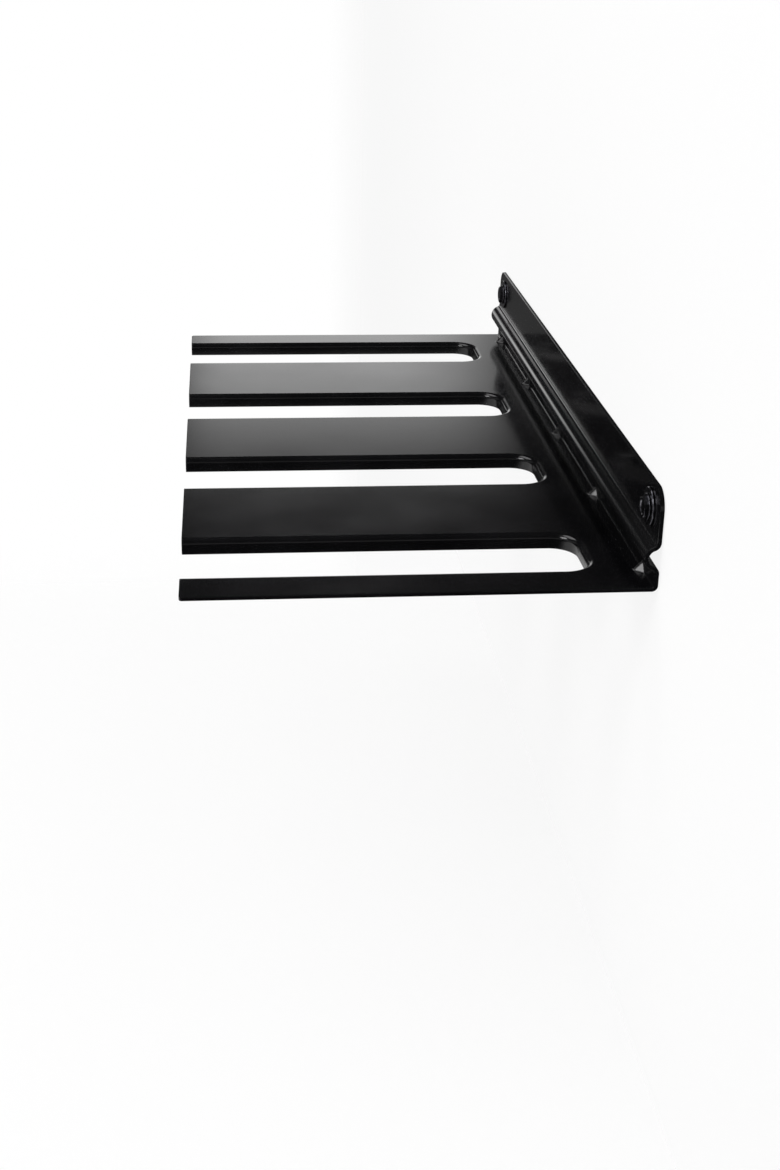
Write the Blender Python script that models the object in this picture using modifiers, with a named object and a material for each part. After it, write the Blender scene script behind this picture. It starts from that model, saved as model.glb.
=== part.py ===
"""Wall mounted organizer for pistol-grip power tools, in metres.

One sheet of steel is cut, formed and powder coated. Its shelf has open-front slots that the grips slide
into, with turned-down lips. Its upper flange lies on the wall, and a screw with a washer holds each end.

+X runs along the rack, to the right for someone who faces the wall. +Y goes into the wall, and +Z is up.
The origin is on the wall's face, midway between the two screws.
"""
import math

import bmesh
import bpy
from mathutils import Matrix, Vector

# The sheet and its reach
sheet_thickness = 0.002
rack_length = 0.442
shelf_depth = 0.210
back_height = 0.0465
finger_corner_radius = 0.0015
flange_corner_radius = 0.010

# The back's section, measured on the room side of the sheet
bend_radius = 0.0008
bead_rise = 0.01365
bead_radius = 0.00585
bead_projection = 0.0052
bead_fillet = 0.0020

# The slots, measured between the faces of their lips. The inset is from the rack's end to a slot's middle
slot_count = 4
slot_width = 0.044
slot_inset = 0.0449
slot_setback = 0.0245
slot_corner_radius = 0.0125
lip_depth = 0.0075
lip_radius = 0.003

# The darts pressed across the inner bend. The inset is from the rack's end to a dart's middle
dart_count = 5
dart_inset = 0.021
dart_leg = 0.0048
dart_width = 0.0076
dart_wall = 0.0016
dart_crest_ease = 0.0004
dart_sink_share = 0.4
round_profile_share = 0.5

# The wall screws and their washers. The inset leaves the spacing of wall studs between the screws
screw_inset = 0.0178
screw_rise = 0.0315
screw_length = 0.045
shank_radius = 0.0028
tip_length = 0.007
hex_across = 0.0094
head_flange_lip = 0.0007
head_flange_thickness = 0.0005
head_height = 0.0024
chamfer_width = 0.0003
chamfer_drop = 0.0004
dish_radius = 0.0033
dish_foot_radius = 0.0027
dish_depth = 0.0004
washer_radius = 0.009
washer_thickness = 0.0007
rim_ease = 0.0002
hole_clearance = 0.0005
seat_gap = 0.0003

# Construction: how far a cut runs past what it cuts, and the sides of the round shapes
overrun = 0.003
bend_steps = 5
bead_steps = 16
corner_steps = 7
dart_steps = 2
hex_sides = 6
round_sides = 32

# Places worked out from the sizes
shelf_top = -screw_rise
shelf_underside = shelf_top - sheet_thickness
flange_top = shelf_underside + back_height
room_face = -sheet_thickness
shelf_front = -shelf_depth
half_length = rack_length / 2
slot_pitch = (rack_length - 2 * slot_inset) / (slot_count - 1)
dart_pitch = (rack_length - 2 * dart_inset) / (dart_count - 1)
screw_spacing = rack_length - 2 * screw_inset
bead_level = shelf_top + bead_rise
hole_radius = shank_radius + hole_clearance
hex_corner = hex_across / (2 * math.cos(math.pi / hex_sides))
head_flange_radius = hex_corner + head_flange_lip


def clear_scene():
    for old in list(bpy.data.objects):
        bpy.data.objects.remove(old, do_unlink=True)


def new_collection(name):
    collection = bpy.data.collections.new(name)
    bpy.context.scene.collection.children.link(collection)
    return collection


def finish(name, colour, roughness, metallic):
    """A Principled material with one colour, roughness and metallic value."""
    material = bpy.data.materials.new(name)
    material.use_nodes = True
    shader = material.node_tree.nodes["Principled BSDF"]
    shader.inputs["Base Color"].default_value = (*colour, 1.0)
    shader.inputs["Roughness"].default_value = roughness
    shader.inputs["Metallic"].default_value = metallic
    return material


def mesh_object(name, mesh, collection):
    piece = bpy.data.objects.new(name, mesh)
    collection.objects.link(piece)
    return piece


def cutter_object(name, mesh, collection):
    """A shape that only adds to or cuts another piece."""
    guide = mesh_object(name, mesh, collection)
    guide.hide_render = True
    guide.display_type = "WIRE"
    return guide


def finished_mesh(piece):
    """The piece's mesh with its modifiers applied. The piece itself is then removed."""
    bpy.context.view_layer.update()
    evaluated = piece.evaluated_get(bpy.context.evaluated_depsgraph_get())
    mesh = bpy.data.meshes.new_from_object(evaluated)
    bpy.data.objects.remove(piece, do_unlink=True)
    return mesh


def boolean(piece, operation, guide):
    modifier = piece.modifiers.new(guide.name, "BOOLEAN")
    modifier.operation = operation
    modifier.solver = "EXACT"
    modifier.object = guide


def row_of(guide, count, pitch):
    """Repeats a guide along X at an even pitch, with the row centred on the rack's middle."""
    guide.location.x = -pitch * (count - 1) / 2
    modifier = guide.modifiers.new("Row", "ARRAY")
    modifier.count = count
    modifier.use_relative_offset = False
    modifier.use_constant_offset = True
    modifier.constant_offset_displace = (pitch, 0, 0)


def arc(centre, radius, start, end, steps):
    """Points on an arc in a plane, both ends included. Angles are in degrees."""
    across, up = centre
    angles = [math.radians(start + (end - start) * step / steps) for step in range(steps + 1)]
    return [(across + radius * math.cos(angle), up + radius * math.sin(angle)) for angle in angles]


# The rack: one surface, the room side of the sheet, that is given its thickness towards the wall

def slot_outline(centre, offset):
    """The slot's edge, from its right front corner to its left one, offset outwards from the lip's face."""
    corner = slot_corner_radius
    arc_level = -slot_setback - corner
    arc_shift = slot_width / 2 - corner
    right = arc((centre + arc_shift, arc_level), corner + offset, 0, 90, corner_steps)
    left = arc((centre - arc_shift, arc_level), corner + offset, 90, 180, corner_steps)
    reach = slot_width / 2 + offset
    return [(centre + reach, shelf_front), *right, *left, (centre - reach, shelf_front)]


def lip_profile():
    """How far outside the lip's face, and how high, the sheet lies as it turns down round a slot."""
    turned = arc((lip_radius, shelf_top - lip_radius), lip_radius, 90, 180, bend_steps)
    return [*turned, (0, shelf_top - lip_depth)]


def back_section():
    """The sheet's room side in Y and Z, from the end of the flat shelf to the foot of the flat flange."""
    bend_centre = (room_face - bend_radius, shelf_top + bend_radius)
    fillet_y = room_face - bead_fillet
    bead_y = room_face - bead_projection + bead_radius
    fillet_shift = math.sqrt((bead_radius + bead_fillet) ** 2 - (bead_y - fillet_y) ** 2)
    lean = math.degrees(math.atan2(fillet_shift, bead_y - fillet_y))
    return [
        *arc(bend_centre, bend_radius, -90, 0, bend_steps),
        *arc((fillet_y, bead_level - fillet_shift), bead_fillet, 0, lean, bend_steps),
        *arc((bead_y, bead_level), bead_radius, 180 + lean, 180 - lean, bead_steps)[1:],
        *arc((fillet_y, bead_level + fillet_shift), bead_fillet, -lean, 0, bend_steps)[1:],
    ]


def pull_rim(mesh, rim, places):
    """Extrudes a run of edges to new places, one for each of its points, and returns the new run."""
    edges = [mesh.edges.get(pair) for pair in zip(rim, rim[1:])]
    made = bmesh.ops.extrude_edge_only(mesh, edges=edges)["geom"]
    fresh = {item for item in made if isinstance(item, bmesh.types.BMVert)}
    moved = []
    for point, place in zip(rim, places):
        copy = next(edge.other_vert(point) for edge in point.link_edges if edge.other_vert(point) in fresh)
        copy.co = place
        moved.append(copy)
    return moved


def rack_surface():
    mesh = bmesh.new()
    section = back_section()
    shelf_back = section[0][0]

    # The flat shelf is a comb: its back edge, a rounded front corner at each end, and the slots between
    corner = finger_corner_radius
    corner_level = shelf_front + corner
    right_corner = arc((half_length - corner, corner_level), corner, 0, -90, bend_steps)
    left_corner = arc((corner - half_length, corner_level), corner, -90, -180, bend_steps)
    centres = [slot_pitch * (number - (slot_count - 1) / 2) for number in range(slot_count)]
    back = [mesh.verts.new((side * half_length, shelf_back, shelf_top)) for side in (-1, 1)]
    right = [mesh.verts.new((x, y, shelf_top)) for x, y in right_corner]
    left = [mesh.verts.new((x, y, shelf_top)) for x, y in left_corner]
    slots = {
        centre: [mesh.verts.new((x, y, shelf_top)) for x, y in slot_outline(centre, lip_radius)]
        for centre in reversed(centres)
    }
    comb = mesh.faces.new([*back, *right, *(point for slot in slots.values() for point in slot), *left])

    # The lips turn down round each slot
    for centre, rim in slots.items():
        for offset, level in lip_profile()[1:]:
            rim = pull_rim(mesh, rim, [Vector((x, y, level)) for x, y in slot_outline(centre, offset)])

    # The bend, the riser and the bead follow the back's section
    rim = back
    for y, z in section[1:]:
        rim = pull_rim(mesh, rim, [Vector((side * half_length, y, z)) for side in (-1, 1)])

    # The flat flange ends in two rounded corners
    corner = flange_corner_radius
    shoulder = flange_top - corner
    upper_right = arc((half_length - corner, shoulder), corner, 0, 90, corner_steps)
    upper_left = arc((corner - half_length, shoulder), corner, 90, 180, corner_steps)
    mesh.faces.new([*rim, *(mesh.verts.new((x, room_face, z)) for x, z in [*upper_right, *upper_left])])

    bmesh.ops.recalc_face_normals(mesh, faces=mesh.faces)
    if comb.normal.z < 0:
        bmesh.ops.reverse_faces(mesh, faces=mesh.faces)
    surface = bpy.data.meshes.new("rack")
    mesh.to_mesh(surface)
    mesh.free()
    return surface


def dart_mesh(name, corner_y, corner_z, leg, steepness, crest_ease):
    """A wedge across the bend, with an eased crest. Its long edge lies along X at corner_y, corner_z."""
    mesh = bmesh.new()
    reach = leg / steepness
    tips = [
        mesh.verts.new(place)
        for place in (
            (-reach, corner_y, corner_z), (reach, corner_y, corner_z),
            (0, corner_y - leg, corner_z), (0, corner_y, corner_z + leg),
        )
    ]
    bmesh.ops.convex_hull(mesh, input=tips)
    crest = mesh.edges.get(tips[2:])
    bmesh.ops.bevel(
        mesh, geom=[crest], offset=crest_ease, segments=dart_steps, profile=round_profile_share,
        affect="EDGES",
    )
    bmesh.ops.recalc_face_normals(mesh, faces=mesh.faces)
    shape = bpy.data.meshes.new(name)
    mesh.to_mesh(shape)
    mesh.free()
    return shape


def rod_mesh(name, radius, length):
    """A round cutter along Y, centred on its own origin."""
    mesh = bmesh.new()
    bmesh.ops.create_cone(
        mesh, cap_ends=True, segments=round_sides, radius1=radius, radius2=radius, depth=length,
        matrix=Matrix.Rotation(math.radians(90), 4, "X"),
    )
    shape = bpy.data.meshes.new(name)
    mesh.to_mesh(shape)
    mesh.free()
    return shape


def make_rack(parts, guides):
    """The sheet: bent, its lips turned, its darts pressed in from behind and its screw holes punched."""
    rack = mesh_object("rack", rack_surface(), parts)
    rack.data.materials.append(finish("black_powder_coat", (0.013, 0.013, 0.015), 0.28, 0.0))
    thickness = rack.modifiers.new("Sheet", "SOLIDIFY")
    thickness.thickness = sheet_thickness
    thickness.offset = -1
    thickness.use_even_offset = True

    # A dart stands proud inside the bend. Its dent outside has the same slopes, one wall further out
    steepness = 2 * dart_leg / dart_width
    sink = sheet_thickness * dart_sink_share
    ridge = dart_mesh(
        "dart_ridges", room_face + sink, shelf_top - sink, dart_leg + 2 * sink, steepness, dart_crest_ease,
    )
    dent_reach = sheet_thickness + overrun
    dent_leg = dart_leg + 2 * dent_reach - dart_wall * math.sqrt(2 + steepness ** 2)
    dent = dart_mesh(
        "dart_dents", room_face + dent_reach, shelf_top - dent_reach, dent_leg, steepness, dart_crest_ease,
    )
    hole = rod_mesh("screw_holes", hole_radius, sheet_thickness + 2 * overrun)
    ridges = cutter_object("dart_ridges", ridge, guides)
    dents = cutter_object("dart_dents", dent, guides)
    holes = cutter_object("screw_holes", hole, guides)
    row_of(ridges, dart_count, dart_pitch)
    row_of(dents, dart_count, dart_pitch)
    row_of(holes, 2, screw_spacing)
    boolean(rack, "UNION", ridges)
    boolean(rack, "DIFFERENCE", dents)
    boolean(rack, "DIFFERENCE", holes)


def turned_mesh(name, profile, closed, parts):
    """A profile in X and Z, turned round Z. It runs down its outer side, from top to bottom."""
    mesh = bmesh.new()
    points = [mesh.verts.new((x, 0, z)) for x, z in profile]
    follow = [*points[1:], points[0]] if closed else points[1:]
    for pair in zip(points, follow):
        mesh.edges.new(pair)
    line = bpy.data.meshes.new(name)
    mesh.to_mesh(line)
    mesh.free()
    draft = mesh_object(name, line, parts)
    turn = draft.modifiers.new("Turn", "SCREW")
    turn.steps = round_sides
    turn.render_steps = round_sides
    turn.use_merge_vertices = True
    turn.merge_threshold = seat_gap / 100
    shape = finished_mesh(draft)
    shape.shade_smooth()
    shape.set_sharp_from_angle(angle=math.radians(35))
    return shape


def screw_profile():
    """From the hub of the head's flange down to the point. Level zero is the face on the washer."""
    return [
        (0, head_flange_thickness),
        (head_flange_radius - rim_ease, head_flange_thickness),
        (head_flange_radius, head_flange_thickness - rim_ease),
        (head_flange_radius, 0),
        (shank_radius, 0),
        (shank_radius, tip_length - screw_length),
        (0, -screw_length),
    ]


def crown_profile():
    """The turned blank that the six-sided head is cut from. Its chamfer takes the head's corners off."""
    return [
        (0, head_height),
        (hex_across / 2 - chamfer_width, head_height),
        (hex_corner + chamfer_width, head_height - chamfer_drop),
        (hex_corner + chamfer_width, 0),
        (0, 0),
    ]


def dish_profile():
    """The shallow dish that forging leaves in the crown."""
    return [
        (0, head_height + overrun),
        (dish_radius, head_height + overrun),
        (dish_radius, head_height),
        (dish_foot_radius, head_height - dish_depth),
        (0, head_height - dish_depth),
    ]


def washer_profile():
    """Round the ring's section, with its front rim eased. Level zero is the face that lies on the sheet."""
    return [
        (washer_radius - rim_ease, washer_thickness),
        (washer_radius, washer_thickness - rim_ease),
        (washer_radius, 0),
        (hole_radius, 0),
        (hole_radius, washer_thickness),
    ]


def hex_mesh():
    """The head's six-sided bar, from inside its flange to past its crown. Two flats are square to X."""
    mesh = bmesh.new()
    foot = head_flange_thickness / 2
    height = head_height + overrun - foot
    bmesh.ops.create_cone(
        mesh, cap_ends=True, segments=hex_sides, radius1=hex_corner, radius2=hex_corner, depth=height,
        matrix=Matrix.Translation((0, 0, foot + height / 2)),
    )
    shape = bpy.data.meshes.new("hex_bar")
    mesh.to_mesh(shape)
    mesh.free()
    return shape


def make_fasteners(parts, guides):
    """A washer and a hexagon-head screw at each end of the flange. Their own +Z points into the room."""
    screw_shape = turned_mesh("screw", screw_profile(), False, parts)
    washer_shape = turned_mesh("washer", washer_profile(), True, parts)
    crown_shape = turned_mesh("crown", crown_profile(), False, guides)
    dish_shape = turned_mesh("dish", dish_profile(), False, guides)
    hex_shape = hex_mesh()
    screw_shape.materials.append(finish("black_oxide_steel", (0.018, 0.018, 0.02), 0.34, 0.7))
    washer_shape.materials.append(finish("black_washer_steel", (0.016, 0.016, 0.018), 0.3, 0.7))
    upright = math.radians(90)
    washer_seat = room_face - seat_gap
    screw_seat = washer_seat - washer_thickness - seat_gap

    for side, end in ((-1, "left"), (1, "right")):
        washer = mesh_object("washer_" + end, washer_shape, parts)
        washer.location = (side * screw_spacing / 2, washer_seat, 0)
        washer.rotation_euler.x = upright
        screw = mesh_object("screw_" + end, screw_shape, parts)
        screw.location = (side * screw_spacing / 2, screw_seat, 0)
        screw.rotation_euler.x = upright
        hex_bar = cutter_object("hex_bar_" + end, hex_shape, guides)
        crown = cutter_object("crown_" + end, crown_shape, guides)
        dish = cutter_object("dish_" + end, dish_shape, guides)
        for guide in (hex_bar, crown, dish):
            guide.parent = screw
        boolean(hex_bar, "INTERSECT", crown)
        boolean(screw, "UNION", hex_bar)
        boolean(screw, "DIFFERENCE", dish)


clear_scene()
organizer = new_collection("power_tool_organizer")
shaping = new_collection("shaping_guides")
make_rack(organizer, shaping)
make_fasteners(organizer, shaping)
bpy.context.view_layer.update()
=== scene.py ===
import math

import bmesh
import bpy
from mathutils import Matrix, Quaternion, Vector


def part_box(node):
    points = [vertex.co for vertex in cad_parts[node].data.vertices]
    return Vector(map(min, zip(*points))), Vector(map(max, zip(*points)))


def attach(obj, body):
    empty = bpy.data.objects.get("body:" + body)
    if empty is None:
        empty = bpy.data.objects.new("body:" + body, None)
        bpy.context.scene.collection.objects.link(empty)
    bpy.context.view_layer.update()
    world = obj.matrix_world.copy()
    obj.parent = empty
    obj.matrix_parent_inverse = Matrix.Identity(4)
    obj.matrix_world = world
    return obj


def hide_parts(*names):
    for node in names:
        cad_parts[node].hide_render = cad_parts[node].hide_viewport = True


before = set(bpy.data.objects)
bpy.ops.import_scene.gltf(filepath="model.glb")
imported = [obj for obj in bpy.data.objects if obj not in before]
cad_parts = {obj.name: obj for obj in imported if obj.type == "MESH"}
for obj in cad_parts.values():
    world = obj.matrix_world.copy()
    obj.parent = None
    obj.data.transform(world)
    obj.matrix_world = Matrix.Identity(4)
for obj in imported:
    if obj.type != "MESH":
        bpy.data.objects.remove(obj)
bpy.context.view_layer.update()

scene = bpy.context.scene
scene.view_settings.view_transform = "Standard"

# The camera stands off the rack's right end, above the shelf, and looks along the rack through a
# normal lens. Its angles are those of the photograph: turned round the rack from the front,
# raised, and rolled a little.
camera_place = Vector((0.87976, -0.18787, 0.25403))
camera_turn = math.radians(84.02)
camera_lift = math.radians(23.04)
camera_roll = math.radians(1.24)
camera_lens = 51.14
sensor_side = 36.0

camera_back = Vector((
    math.sin(camera_turn) * math.cos(camera_lift),
    -math.cos(camera_turn) * math.cos(camera_lift),
    math.sin(camera_lift),
))
camera_data = bpy.data.cameras.new("camera")
camera_data.lens = camera_lens
camera_data.sensor_width = sensor_side
camera = bpy.data.objects.new("camera", camera_data)
scene.collection.objects.link(camera)
camera.location = camera_place
camera.rotation_mode = "QUATERNION"
rolled = Quaternion((0, 0, 1), camera_roll)
camera.rotation_quaternion = camera_back.to_track_quat("Z", "Y") @ rolled
scene.camera = camera


# The studio: a pale floor well below the rack and the white wall that the flange lies on, both
# clear from behind. A backdrop and a strip past the rack's far end glow in reflections only, as a
# pale band of the room does just above the horizon. Two softboxes give the object its plain light.
quarter_turn = math.radians(90)
room_white = (1.0, 1.0, 1.0, 1.0)
matt_white = (0.9, 0.9, 0.9, 1.0)
floor_level = -0.26
floor_side = 5.0
floor_fades = (("X", -0.25, -0.50), ("X", 0.30, 0.60))
floor_glow_share = 0.85
wall_side = 8.0
wall_gap = 0.0004
wall_fades = (("X", -1.0, -2.2),)
wall_glow_share = 0.85
backdrop_low = (-2.4, -0.34, -0.30)
backdrop_high = (-2.4, 0.50, 0.85)
backdrop_fades = (("Y", -0.18, -0.34), ("Y", 0.15, 0.50), ("Z", 0.60, 0.85))
backdrop_glow = 1.5
strip_low = (-1.72, -0.78, -0.22)
strip_high = (-1.72, -0.34, 0.22)
strip_fades = (("Y", -0.52, -0.34), ("Y", -0.60, -0.78), ("Z", 0.02, 0.22), ("Z", -0.02, -0.22))
strip_glow = 2.1
ambient_strength = 0.5
band_levels = ((-1.0, 0.03), (-0.08, 0.03), (0.0, 0.4), (0.25, 0.4), (0.42, 0.05), (1.0, 0.06))
far_levels = ((-1.0, 0.02), (-0.33, 0.02), (-0.24, 0.08), (0.0, 0.06), (0.15, 0.03), (1.0, 0.02))
band_fade = (-0.75, -0.35)
soft_lamps = (
    ("key_softbox", (0.58, -0.87, 0.69), (0.16, -0.01, -0.02), (0.45, 0.45), 5.0),
    ("fill_softbox", (-0.25, -0.75, 1.15), (0.0, -0.1, -0.03), (0.8, 0.8), 6.0),
)


def deselect():
    bpy.ops.object.select_all(action="DESELECT")


def settle():
    """Puts the place, turn and size of the object in hand into its mesh."""
    bpy.ops.object.transform_apply(location=True, rotation=True, scale=True)


def feed(tree, value, socket):
    """Sets the socket to a number, or links an output to it."""
    if isinstance(value, (int, float)):
        socket.default_value = value
    else:
        tree.links.new(value, socket)


def join_nodes(tree, operation, first, second):
    """A Math node on two outputs, or on an output and a number. Returns its own output."""
    node = tree.nodes.new("ShaderNodeMath")
    node.operation = operation
    feed(tree, first, node.inputs[0])
    feed(tree, second, node.inputs[1])
    return node.outputs[0]


def carry(tree, value, start, end, first=0.0, last=1.0, kind="LINEAR"):
    """A Map Range node: as the value goes from start to end, the result goes from first to last."""
    node = tree.nodes.new("ShaderNodeMapRange")
    node.interpolation_type = kind
    feed(tree, value, node.inputs["Value"])
    feed(tree, start, node.inputs["From Min"])
    feed(tree, end, node.inputs["From Max"])
    feed(tree, first, node.inputs["To Min"])
    feed(tree, last, node.inputs["To Max"])
    return node.outputs["Result"]


def studio_paint(name, glow_share, fades, strength=1.0):
    """Matt white that takes soft shadows and looks near white.

    From behind, and past its fades, it is clear.
    """
    paint = bpy.data.materials.new(name)
    paint.use_nodes = True
    tree = paint.node_tree
    tree.nodes.clear()
    matt = tree.nodes.new("ShaderNodeBsdfDiffuse")
    matt.inputs["Color"].default_value = matt_white
    glow = tree.nodes.new("ShaderNodeEmission")
    glow.inputs["Color"].default_value = room_white
    glow.inputs["Strength"].default_value = strength
    rays = tree.nodes.new("ShaderNodeLightPath").outputs
    seen = join_nodes(tree, "MAXIMUM", rays["Is Camera Ray"], rays["Is Glossy Ray"])
    seen = join_nodes(tree, "MAXIMUM", seen, rays["Is Transmission Ray"])
    lit = tree.nodes.new("ShaderNodeMixShader")
    tree.links.new(join_nodes(tree, "MULTIPLY", seen, glow_share), lit.inputs["Fac"])
    tree.links.new(matt.outputs["BSDF"], lit.inputs[1])
    tree.links.new(glow.outputs["Emission"], lit.inputs[2])

    hidden = tree.nodes.new("ShaderNodeNewGeometry").outputs["Backfacing"]
    place = tree.nodes.new("ShaderNodeTexCoord")
    parts = tree.nodes.new("ShaderNodeSeparateXYZ")
    tree.links.new(place.outputs["Object"], parts.inputs["Vector"])
    for axis, start, end in fades:
        faded = carry(tree, parts.outputs[axis], start, end, kind="SMOOTHSTEP")
        hidden = join_nodes(tree, "MAXIMUM", hidden, faded)
    clear = tree.nodes.new("ShaderNodeBsdfTransparent")
    blend = tree.nodes.new("ShaderNodeMixShader")
    tree.links.new(hidden, blend.inputs["Fac"])
    tree.links.new(lit.outputs["Shader"], blend.inputs[1])
    tree.links.new(clear.outputs["BSDF"], blend.inputs[2])
    output = tree.nodes.new("ShaderNodeOutputMaterial")
    tree.links.new(blend.outputs["Shader"], output.inputs["Surface"])
    return paint


def stage_plane(name, sides, place, turn, paint):
    deselect()
    bpy.ops.mesh.primitive_plane_add(size=1, location=place, rotation=turn)
    plane = bpy.context.object
    plane.name = name
    plane.scale = (*sides, 1)
    settle()
    plane.data.materials.append(paint)
    return plane


def stage_panel(name, low, high, fades, strength):
    """A glowing panel square to X, with soft edges. It is there for reflections only."""
    middle = (Vector(low) + Vector(high)) / 2
    sides = (high[2] - low[2], high[1] - low[1])
    paint = studio_paint(name, 1.0, fades, strength)
    panel = stage_plane(name, sides, middle, (0, quarter_turn, 0), paint)
    panel.visible_camera = False
    panel.visible_diffuse = False
    panel.visible_shadow = False


floor_paint = studio_paint("floor_paint", floor_glow_share, floor_fades)
stage_plane("studio_floor", (floor_side, floor_side), (0, 0, floor_level), (0, 0, 0), floor_paint)
wall_paint = studio_paint("wall_paint", wall_glow_share, wall_fades)
wall_sides = (wall_side, wall_side)
wall = stage_plane("studio_wall", wall_sides, (0, wall_gap, 0), (quarter_turn, 0, 0), wall_paint)
wall.visible_glossy = False
wall.visible_shadow = False
stage_panel("studio_backdrop", backdrop_low, backdrop_high, backdrop_fades, backdrop_glow)
stage_panel("studio_strip", strip_low, strip_high, strip_fades, strip_glow)


def by_height(tree, height, levels):
    """A Color Ramp node: the strength at each height, from -1 straight down to 1 straight up."""
    ramp = tree.nodes.new("ShaderNodeValToRGB")
    ramp.color_ramp.interpolation = "EASE"
    stops = ramp.color_ramp.elements
    while len(stops) < len(levels):
        stops.new(1.0)
    for stop, (level, strength) in zip(stops, levels):
        stop.position = (level + 1) / 2
        stop.color = (strength, strength, strength, 1.0)
    tree.links.new(height, ramp.inputs["Fac"])
    return ramp.outputs["Color"]


def studio_surroundings():
    """The world: white to the camera, an even light, and in reflections the room by its height."""
    world = bpy.data.worlds.new("studio_surroundings")
    world.use_nodes = True
    tree = world.node_tree
    tree.nodes.clear()
    place = tree.nodes.new("ShaderNodeTexCoord")
    parts = tree.nodes.new("ShaderNodeSeparateXYZ")
    tree.links.new(place.outputs["Generated"], parts.inputs["Vector"])
    height = carry(tree, parts.outputs["Z"], -1.0, 1.0)
    facing = carry(tree, parts.outputs["X"], *band_fade, kind="SMOOTHSTEP")
    far = by_height(tree, height, far_levels)
    band = by_height(tree, height, band_levels)
    mirrored = carry(tree, facing, 0.0, 1.0, far, band)

    rays = tree.nodes.new("ShaderNodeLightPath").outputs
    direct = join_nodes(tree, "MAXIMUM", rays["Is Camera Ray"], rays["Is Transmission Ray"])
    even = carry(tree, direct, 0.0, 1.0, ambient_strength, 1.0)
    strength = carry(tree, rays["Is Glossy Ray"], 0.0, 1.0, even, mirrored)
    light = tree.nodes.new("ShaderNodeBackground")
    light.inputs["Color"].default_value = room_white
    tree.links.new(strength, light.inputs["Strength"])
    output = tree.nodes.new("ShaderNodeOutputWorld")
    tree.links.new(light.outputs["Background"], output.inputs["Surface"])
    return world


scene.world = studio_surroundings()

for lamp_name, lamp_place, lamp_aim, lamp_sides, lamp_power in soft_lamps:
    lamp_data = bpy.data.lights.new(lamp_name, "AREA")
    lamp_data.shape = "RECTANGLE"
    lamp_data.size, lamp_data.size_y = lamp_sides
    lamp_data.energy = lamp_power
    lamp = bpy.data.objects.new(lamp_name, lamp_data)
    scene.collection.objects.link(lamp)
    lamp.location = lamp_place
    lamp_back = Vector(lamp_place) - Vector(lamp_aim)
    lamp.rotation_euler = lamp_back.to_track_quat("Z", "Y").to_euler()


# The rack: one laser-cut sheet of 2 mm steel. A press brake folds the back up, a roll forms the
# bead in it, the rims of the slots are turned down, and a punch drives five darts into the inner
# bend. Then it is powder coated.
rack_low, rack_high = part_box("rack")
sheet = 0.002
lip_depth = 0.0075
lip_radius = 0.003
slot_count = 4
slot_width = 0.044
slot_inset = 0.0449
slot_setback = 0.0245
slot_corner = 0.0125
finger_corner = 0.0015
flange_corner = 0.010
bend_radius = 0.0008
bead_rise = 0.01365
bead_radius = 0.00585
bead_projection = 0.0052
bead_fillet = 0.0020
dart_count = 5
dart_inset = 0.021
dart_leg = 0.0048
dart_half_width = 0.0038
dart_wall = 0.0016
dart_softness = 0.0006
dart_reach = 0.0072
dart_row = 0.0004
screw_inset = 0.0178
hole_radius = 0.0033
punch_depth = 4 * sheet
edge_ease = 0.0005
corner_facets = 14
lip_facets = 7
bend_facets = 8
bead_facets = 26
fillet_facets = 6
round_facets = 48
ease_facets = 2
flat_angle = 1
cut_edge_angle = 60
fold_smooth_angle = 40
near = 0.00002

shelf_top = rack_low.z + lip_depth
shelf_front = rack_low.y
room_face = rack_high.y - sheet
flange_top = rack_high.z
half_length = rack_high.x
slot_pitch = (2 * half_length - 2 * slot_inset) / (slot_count - 1)
slot_middles = [slot_pitch * (number - (slot_count - 1) / 2) for number in range(slot_count)]
slot_sides = [middle + side * slot_width / 2 for middle in slot_middles for side in (-1, 1)]
dart_pitch = (2 * half_length - 2 * dart_inset) / (dart_count - 1)
dart_middles = [dart_pitch * (number - (dart_count - 1) / 2) for number in range(dart_count)]
bead_level = shelf_top + bead_rise
bead_centre = room_face - bead_projection + bead_radius
fillet_centre = room_face - bead_fillet
fillet_shift = math.sqrt((bead_radius + bead_fillet) ** 2 - (bead_centre - fillet_centre) ** 2)
fillet_turn = math.atan2(fillet_shift, bead_centre - fillet_centre)


def close(first, second):
    return abs(first - second) < near


def middle_of(item):
    points = [item] if isinstance(item, bmesh.types.BMVert) else item.verts
    return sum((point.co for point in points), Vector()) / len(points)


def pick(kind, test):
    """Selects the points, edges or faces of the mesh in hand that pass the test, and no others."""
    bpy.ops.mesh.select_mode(type=kind)
    bpy.ops.mesh.select_all(action="DESELECT")
    data = bpy.context.object.data
    shape = bmesh.from_edit_mesh(data)
    items = {"VERT": shape.verts, "EDGE": shape.edges, "FACE": shape.faces}[kind]
    chosen = [item for item in items if test(item)]
    for item in chosen:
        item.select_set(True)
    bmesh.update_edit_mesh(data)
    return len(chosen)


def pick_all():
    bpy.ops.mesh.select_all(action="SELECT")


def pull(offset):
    """Extrudes what is selected, by the offset."""
    bpy.ops.mesh.extrude_region_move(TRANSFORM_OT_translate={"value": offset})


def roll_back(facets, angle, centre, level, outward):
    """Carries the selected edge round an arc about a line along X, outwards where outward is 1."""
    bpy.ops.mesh.spin(steps=facets, angle=angle, center=(0, centre, level), axis=(outward, 0, 0))


def face_outwards():
    pick_all()
    bpy.ops.mesh.normals_make_consistent(inside=False)


def in_a_slot(place):
    return any(abs(place.x - middle) < slot_width / 2 + near for middle in slot_middles)


def take_up(piece):
    """Makes the piece the one in hand, with nothing else selected."""
    deselect()
    bpy.context.view_layer.objects.active = piece
    piece.select_set(True)


def apply(piece, kind, **settings):
    """Puts a modifier on the piece and applies it."""
    modifier = piece.modifiers.new(kind, kind)
    for name, value in settings.items():
        setattr(modifier, name, value)
    take_up(piece)
    bpy.ops.object.modifier_apply(modifier=modifier.name)


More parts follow.
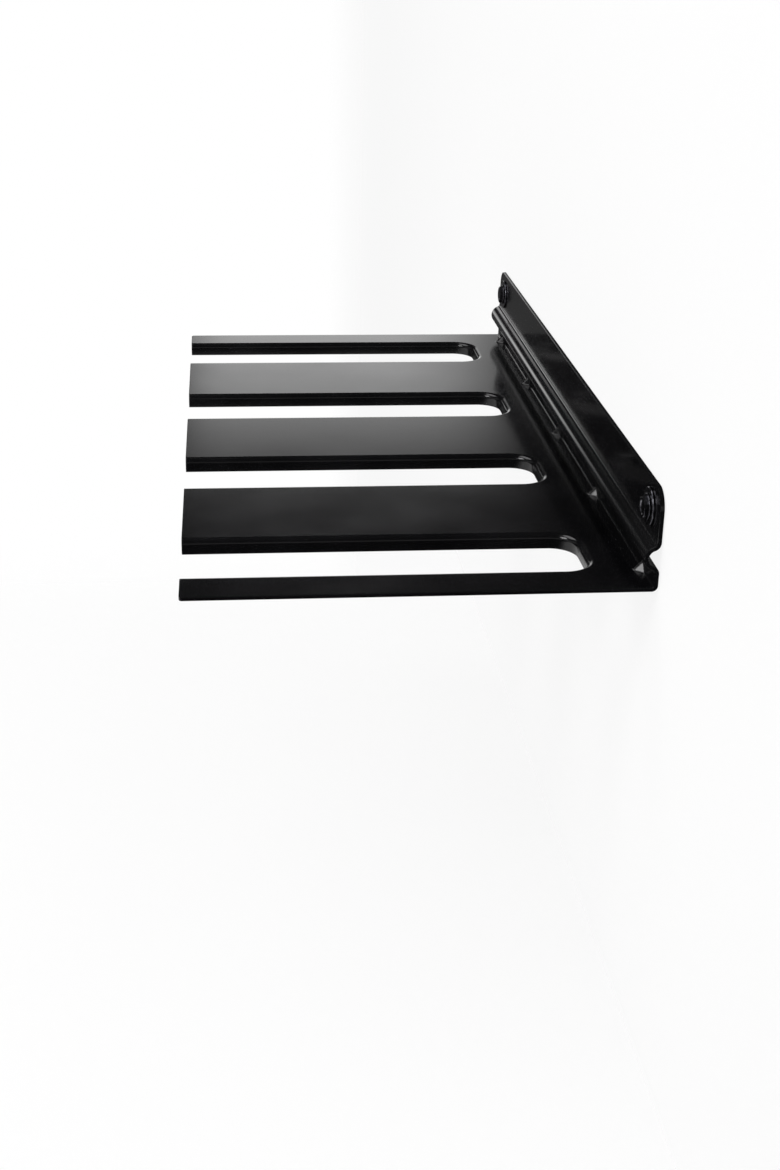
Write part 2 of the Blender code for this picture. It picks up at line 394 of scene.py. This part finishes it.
def combine(piece, operation, tool):
    """Cuts the piece with the tool, or joins them, and the tool is gone."""
    apply(piece, "BOOLEAN", operation=operation, solver="EXACT", object=tool)
    bpy.data.objects.remove(tool, do_unlink=True)


def ease_edges(piece, width, angle):
    """Rounds the edges that turn by more than the angle."""
    apply(piece, "BEVEL", width=width, segments=ease_facets, limit_method="ANGLE",
          angle_limit=math.radians(angle))


def soften(piece, angle):
    """Shades the piece smooth, but for edges that turn by more than the angle."""
    take_up(piece)
    bpy.ops.object.shade_smooth_by_angle(angle=math.radians(angle))
    apply(piece, "WEIGHTED_NORMAL", keep_sharp=True, weight=100)


def fold_sheet():
    """The sheet's room side: shelf and slots, the lips, the bend, the bead and the flange."""
    deselect()
    strip_middle = (0, (room_face - slot_setback) / 2, shelf_top)
    bpy.ops.mesh.primitive_plane_add(size=1, location=strip_middle)
    bpy.ops.transform.resize(
        value=(2 * half_length, room_face + slot_setback, 1), center_override=strip_middle)
    settle()
    rack = bpy.context.object
    rack.name = "powder_coated_sheet"
    bpy.ops.object.mode_set(mode="EDIT")
    for side in slot_sides:
        pick_all()
        bpy.ops.mesh.bisect(plane_co=(side, 0, shelf_top), plane_no=(1, 0, 0))

    # The fingers run out to the front, and the shelf becomes one flat face
    pick("EDGE", lambda edge: edge.is_boundary and close(middle_of(edge).y, -slot_setback)
         and not in_a_slot(middle_of(edge)))
    pull((0, shelf_front + slot_setback, 0))
    pick_all()
    bpy.ops.mesh.dissolve_limited(angle_limit=math.radians(flat_angle))

    # Round corners: at the inner end of each slot, and at the two outer corners of the front
    pick("VERT", lambda point: close(point.co.y, -slot_setback) and in_a_slot(point.co))
    bpy.ops.mesh.bevel(offset=slot_corner, segments=corner_facets, affect="VERTICES")
    pick("VERT", lambda point: close(point.co.y, shelf_front)
         and close(abs(point.co.x), half_length))
    bpy.ops.mesh.bevel(offset=finger_corner, segments=fillet_facets, affect="VERTICES")

    # The rims of the slots turn down
    pick("EDGE", lambda edge: edge.is_boundary and in_a_slot(middle_of(edge))
         and shelf_front + near < middle_of(edge).y < -slot_setback + near)
    pull((0, 0, -lip_depth))

    # The back turns up, runs round the bead between two fillets and ends in the flange
    pick("EDGE", lambda edge: edge.is_boundary and close(middle_of(edge).y, room_face))
    pull((0, 0, bead_rise - fillet_shift))
    roll_back(fillet_facets, fillet_turn, fillet_centre, bead_level - fillet_shift, -1)
    roll_back(bead_facets, 2 * fillet_turn, bead_centre, bead_level, 1)
    roll_back(fillet_facets, fillet_turn, fillet_centre, bead_level + fillet_shift, -1)
    pull((0, 0, flange_top - bead_level - fillet_shift))
    pick_all()
    bpy.ops.mesh.remove_doubles(threshold=near)

    # Fold radii: the lips and the bend, and the rounded corners of the flange
    pick("EDGE", lambda edge: len(edge.link_faces) == 2 and in_a_slot(middle_of(edge))
         and close(middle_of(edge).z, shelf_top) and middle_of(edge).y < -slot_setback + near)
    bpy.ops.mesh.bevel(offset=lip_radius, segments=lip_facets, affect="EDGES")
    pick("EDGE", lambda edge: len(edge.link_faces) == 2 and close(middle_of(edge).y, room_face)
         and close(middle_of(edge).z, shelf_top))
    bpy.ops.mesh.bevel(offset=bend_radius, segments=bend_facets, affect="EDGES")
    pick("VERT", lambda point: close(point.co.z, flange_top))
    bpy.ops.mesh.bevel(offset=flange_corner, segments=corner_facets, affect="VERTICES")

    # The room side faces up and out into the room
    face_outwards()
    widest = max(bmesh.from_edit_mesh(rack.data).faces, key=lambda face: face.calc_area())
    if widest.normal.z < 0:
        bpy.ops.mesh.flip_normals()
    bpy.ops.object.mode_set(mode="OBJECT")
    return rack


rack = fold_sheet()
apply(rack, "SOLIDIFY", thickness=sheet, offset=-1, use_even_offset=True)


def by_the_bend(face):
    """True for a face of either skin that a dart reaches."""
    place = middle_of(face)
    return place.y > room_face - dart_reach - near and place.z < shelf_top + dart_reach


def cut_where(normal, place):
    """Cuts the faces by the bend with a plane, if they cross it."""
    across = Vector(normal)

    def crosses(face):
        heights = [across.dot(point.co - Vector(place)) for point in face.verts]
        return min(heights) < -near and max(heights) > near and by_the_bend(face)

    if pick("FACE", crosses):
        bpy.ops.mesh.bisect(plane_co=place, plane_no=normal)


def soft_most(first, second, softness):
    """The larger of two lengths, blended where they are nearly the same."""
    gap = max(softness - abs(first - second), 0) / softness
    return max(first, second) + gap * gap * softness / 4


def press_darts(rack):
    """Drives each dart in along the bend's bisector: a ridge inside, and a dent outside."""
    take_up(rack)
    bpy.ops.object.mode_set(mode="EDIT")
    edge_line = room_face - dart_reach
    pick("FACE", lambda face: min(point.co.y for point in face.verts) < edge_line - near
         and max(point.co.y for point in face.verts) > edge_line + near)
    bpy.ops.mesh.bisect(plane_co=(0, edge_line, 0), plane_no=(0, 1, 0))
    rows = round(dart_reach / dart_row)
    for row in range(1, rows):
        cut_where((0, 1, 0), (0, room_face - row * dart_row, 0))
        if row * dart_row < bead_rise - fillet_shift:
            cut_where((0, 0, 1), (0, 0, shelf_top + row * dart_row))
    columns = math.ceil((dart_half_width + dart_softness) / dart_row)
    for middle in dart_middles:
        for column in range(-columns, columns + 1):
            cut_where((1, 0, 0), (middle + column * dart_row, 0, 0))
    bpy.ops.object.mode_set(mode="OBJECT")

    slope = dart_leg / dart_half_width
    wall_step = dart_wall * math.sqrt(2 + slope ** 2)
    bend_level = bend_radius + sheet / 2
    for point in rack.data.vertices:
        out = room_face - point.co.y
        up = point.co.z - shelf_top
        across = min(abs(point.co.x - middle) for middle in dart_middles)
        if across > dart_half_width + dart_softness or out > dart_reach or up > dart_reach:
            continue
        if max(out, up) < bend_radius:
            inner = math.hypot(out - bend_radius, up - bend_radius) < bend_level
        else:
            inner = min(out, up) > -sheet / 2
        crest = dart_leg - slope * (math.hypot(across, dart_softness) - dart_softness)
        if not inner:
            crest -= wall_step
        level = out + up
        rise = (soft_most(level, crest, dart_softness) - level) / 2
        point.co.y -= rise
        point.co.z += rise


press_darts(rack)


def round_bar(facets, radius, depth, place):
    """A bar that lies along Y."""
    deselect()
    bpy.ops.mesh.primitive_cylinder_add(
        vertices=facets, radius=radius, depth=depth, location=place, rotation=(quarter_turn, 0, 0))
    return bpy.context.object


# The two screw holes are punched through the flange
for side in (-1, 1):
    hole_middle = (side * (half_length - screw_inset), 0, 0)
    combine(rack, "DIFFERENCE", round_bar(round_facets, hole_radius, punch_depth, hole_middle))

ease_edges(rack, edge_ease, cut_edge_angle)
soften(rack, fold_smooth_angle)

coat_ior = 1.45
coat_roughness = (0.13, 0.17)
coat_tones = ((0.4, (0.0014, 0.0014, 0.0018)), (0.75, (0.0038, 0.0038, 0.0044)))
peel_scale = 620
peel_relief = (0.12, 0.00005)
grain_scale = 2600
grain_relief = (0.12, 0.00001)
fine_detail = 1
dust_scale = 26
dust_detail = 3
dust_range = (0.25, 0.75)


def noise(tree, place, scale, detail):
    pattern = tree.nodes.new("ShaderNodeTexNoise")
    pattern.inputs["Scale"].default_value = scale
    pattern.inputs["Detail"].default_value = detail
    tree.links.new(place, pattern.inputs["Vector"])
    return pattern.outputs["Fac"]


def relief(tree, height, strength, distance, under=None):
    """A Bump node for a pattern, on top of another one where there is one under it."""
    bump = tree.nodes.new("ShaderNodeBump")
    bump.inputs["Strength"].default_value = strength
    bump.inputs["Distance"].default_value = distance
    tree.links.new(height, bump.inputs["Height"])
    if under is not None:
        tree.links.new(under, bump.inputs["Normal"])
    return bump.outputs["Normal"]


def tone_by(tree, value, tones):
    """A Color Ramp node between two tones, each given with its place on the ramp."""
    ramp = tree.nodes.new("ShaderNodeValToRGB")
    for stop, (place, colour) in zip(ramp.color_ramp.elements, tones):
        stop.position = place
        stop.color = (*colour, 1)
    tree.links.new(value, ramp.inputs["Fac"])
    return ramp.outputs["Color"]


def powder_coat():
    """Glossy black powder: an orange peel, a grain finer still, and a little dust that dulls it."""
    coat = bpy.data.materials.new("black_powder_coat")
    coat.use_nodes = True
    tree = coat.node_tree
    shader = tree.nodes["Principled BSDF"]
    shader.inputs["Metallic"].default_value = 0.0
    shader.inputs["IOR"].default_value = coat_ior
    place = tree.nodes.new("ShaderNodeTexCoord").outputs["Object"]
    peel = noise(tree, place, peel_scale, fine_detail)
    grain = noise(tree, place, grain_scale, fine_detail)
    dust = noise(tree, place, dust_scale, dust_detail)
    skin = relief(tree, peel, *peel_relief)
    skin = relief(tree, grain, *grain_relief, under=skin)
    tree.links.new(skin, shader.inputs["Normal"])
    gloss = carry(tree, dust, *dust_range, *coat_roughness)
    tree.links.new(gloss, shader.inputs["Roughness"])
    tree.links.new(tone_by(tree, dust, coat_tones), shader.inputs["Base Color"])
    return coat


rack.data.materials.clear()
rack.data.materials.append(powder_coat())
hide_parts("rack")
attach(rack, "root")


# The washers: rings punched from 0.7 mm steel strip and blackened. The punch rolls their front
# rim over and leaves the back square. Each lies on the flange, under the head of its screw.
washer_low, washer_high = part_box("washer_right")
washer_radius = (washer_high.x - washer_low.x) / 2
washer_thickness = washer_high.y - washer_low.y
washer_hole = 0.0033
washer_roll = 0.0005
washer_ease = 0.0002
washer_ring = (washer_low.y + washer_high.y) / 2
washer_grain = 1100
washer_shine = 0.16
roll_facets = 4
steel_smooth_angle = 35
steel_tone = 0.09
steel_tints = ((0.35, (1, 1, 1.15)), (0.75, (2, 2, 2.2)))
steel_shine_spread = 0.1
mark_waver = 2.0
mark_relief = (0.15, 0.00001)
pit_scale = 900
pit_detail = 3
pit_range = (0.3, 0.7)
pit_relief = (0.25, 0.00002)


def ring_edge(edge, level, radius):
    """True for an edge round the screw's axis at a level in Y, at about the radius."""
    return all(close(point.co.y, level) for point in edge.verts) and (
        abs(math.hypot(*middle_of(edge).xz) - radius) < radius / round_facets)


def punch_washer():
    washer = round_bar(round_facets, washer_radius, washer_thickness, (0, washer_ring, 0))
    settle()
    bpy.ops.object.mode_set(mode="EDIT")
    pick("FACE", lambda face: len(face.verts) > 4)
    bpy.ops.mesh.inset(thickness=washer_radius - washer_hole)
    bpy.ops.mesh.bridge_edge_loops()
    pick("EDGE", lambda edge: ring_edge(edge, washer_low.y, washer_radius))
    bpy.ops.mesh.bevel(offset=washer_roll, segments=roll_facets, affect="EDGES")
    pick("EDGE", lambda edge: ring_edge(edge, washer_low.y, washer_hole))
    bpy.ops.mesh.bevel(offset=washer_ease, segments=ease_facets, affect="EDGES")
    face_outwards()
    bpy.ops.object.mode_set(mode="OBJECT")
    soften(washer, steel_smooth_angle)
    return washer


def blackened_steel(name, middle, grain, shine):
    """Black oxide on steel: a dark metal that glints, with fine rings round the screw's axis."""
    steel = bpy.data.materials.new(name)
    steel.use_nodes = True
    tree = steel.node_tree
    shader = tree.nodes["Principled BSDF"]
    shader.inputs["Metallic"].default_value = 1.0
    place = tree.nodes.new("ShaderNodeTexCoord")
    centre = tree.nodes.new("ShaderNodeMapping")
    centre.inputs["Location"].default_value = (-middle, 0, 0)
    tree.links.new(place.outputs["Object"], centre.inputs["Vector"])

    marks = tree.nodes.new("ShaderNodeTexWave")
    marks.wave_type = "RINGS"
    marks.rings_direction = "Y"
    marks.inputs["Scale"].default_value = grain
    marks.inputs["Distortion"].default_value = mark_waver
    tree.links.new(centre.outputs["Vector"], marks.inputs["Vector"])
    pits = noise(tree, centre.outputs["Vector"], pit_scale, pit_detail)
    skin = relief(tree, marks.outputs["Fac"], *mark_relief)
    skin = relief(tree, pits, *pit_relief, under=skin)
    tree.links.new(skin, shader.inputs["Normal"])
    gloss = carry(tree, pits, *pit_range, shine, shine + steel_shine_spread)
    tree.links.new(gloss, shader.inputs["Roughness"])
    tones = [(spot, [steel_tone * tint for tint in tints]) for spot, tints in steel_tints]
    tree.links.new(tone_by(tree, pits, tones), shader.inputs["Base Color"])
    return steel


def set_both(model, kind, words, grain, shine):
    """Sets a copy at each end of the flange, in place of the frame's own, and drops the model."""
    for side, end in ((-1, "left"), (1, "right")):
        middle = side * (half_length - screw_inset)
        piece = bpy.data.objects.new(f"{words}_{end}", model.data.copy())
        scene.collection.objects.link(piece)
        for point in piece.data.vertices:
            point.co.x += middle
        piece.data.materials.clear()
        piece.data.materials.append(blackened_steel(f"{words}_{end}", middle, grain, shine))
        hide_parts(f"{kind}_{end}")
        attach(piece, "root")
    bpy.data.objects.remove(model, do_unlink=True)


washer_model = punch_washer()
set_both(washer_model, "washer", "black_washer", washer_grain, washer_shine)


# The screws: hexagon screws of blackened steel, cold headed in one with a round flange. The crown
# is chamfered and lightly dished. The shank is plain under the head, then a rolled thread runs
# down to a point in the stud.
screw_low, screw_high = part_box("screw_right")
screw_front = screw_low.y
screw_point = screw_high.y
head_flange_radius = (screw_high.z - screw_low.z) / 2
head_height = 0.0024
head_seat = screw_front + head_height
head_flange_thickness = 0.0005
head_flange_roll = 0.00025
hex_across = 0.0094
hex_corner = hex_across / math.sqrt(3)
crown_radius = 0.0044
chamfer_reach = 0.0003
chamfer_drop = 0.0004
dish_radius = 0.0033
dish_foot_share = 0.82
dish_depth = 0.0004
head_ease = 0.00025
head_edge_angle = 30
plain_radius = 0.0023
plain_length = 0.0085
thread_radius = 0.0028
thread_root = 0.00195
thread_pitch = 0.0024
thread_steps = 12
thread_length = screw_point - head_seat - plain_length
ridge_middle = 0.5
ridge_share = 0.3
point_length = 0.008
point_weld = near / 20
screw_grain = 1500
screw_shine = 0.14


def forge_head():
    """The hexagon with its chamfered crown and its flange, and a dish in the crown."""
    depth = head_height - head_flange_thickness / 2
    middle = (0, screw_front + depth / 2, 0)
    head = round_bar(6, hex_corner, depth, middle)
    settle()
    cone_slope = (hex_corner + chamfer_reach - crown_radius) / chamfer_drop
    bpy.ops.mesh.primitive_cone_add(
        vertices=round_facets, radius1=crown_radius + cone_slope * depth, radius2=crown_radius,
        depth=depth, location=middle, rotation=(quarter_turn, 0, 0),
    )
    combine(head, "INTERSECT", bpy.context.object)

    disc_middle = (0, head_seat - head_flange_thickness / 2, 0)
    disc = round_bar(round_facets, head_flange_radius, head_flange_thickness, disc_middle)
    settle()
    bpy.ops.object.mode_set(mode="EDIT")
    disc_front = head_seat - head_flange_thickness
    pick("EDGE", lambda edge: ring_edge(edge, disc_front, head_flange_radius))
    bpy.ops.mesh.bevel(offset=head_flange_roll, segments=roll_facets, affect="EDGES")
    bpy.ops.object.mode_set(mode="OBJECT")
    combine(head, "UNION", disc)

    bpy.ops.object.mode_set(mode="EDIT")
    pick("FACE", lambda face: close(middle_of(face).y, screw_front))
    bpy.ops.mesh.inset(thickness=crown_radius - dish_radius)
    pull((0, dish_depth, 0))
    bpy.ops.transform.resize(
        value=(dish_foot_share, 1, dish_foot_share),
        center_override=(0, screw_front + dish_depth, 0),
    )
    bpy.ops.object.mode_set(mode="OBJECT")
    ease_edges(head, head_ease, head_edge_angle)
    return head


def roll_thread(screw):
    """Draws the shank out of the flange's back in even rings, which then rise and fall."""
    bpy.ops.object.mode_set(mode="EDIT")
    pick("FACE", lambda face: close(middle_of(face).y, head_seat) and len(face.verts) > 4)
    bpy.ops.mesh.inset(thickness=head_flange_radius - head_ease - plain_radius)
    pull((0, plain_length, 0))
    rings = round(thread_length / (thread_pitch / thread_steps))
    for _ in range(rings):
        pull((0, thread_length / rings, 0))
    bpy.ops.object.mode_set(mode="OBJECT")

    for point in screw.data.vertices:
        depth = point.co.y - head_seat
        if depth < plain_length / 2:
            continue
        around = math.atan2(point.co.z, point.co.x) / math.tau
        turn = (depth / thread_pitch - around) % 1
        ridge = max(1 - abs(turn - ridge_middle) / ridge_share, 0)
        start = min(max((depth - plain_length) / thread_pitch, 0), 1)
        full = thread_root + (thread_radius - thread_root) * ridge
        radius = plain_radius + (full - plain_radius) * start
        radius *= math.sqrt(min((screw_point - point.co.y) / point_length, 1))
        factor = radius / math.hypot(point.co.x, point.co.z)
        point.co.x *= factor
        point.co.z *= factor
    bpy.ops.object.mode_set(mode="EDIT")
    pick_all()
    bpy.ops.mesh.remove_doubles(threshold=point_weld)
    face_outwards()
    bpy.ops.object.mode_set(mode="OBJECT")


screw = forge_head()
roll_thread(screw)
soften(screw, steel_smooth_angle)
set_both(screw, "screw", "black_hex_screw", screw_grain, screw_shine)
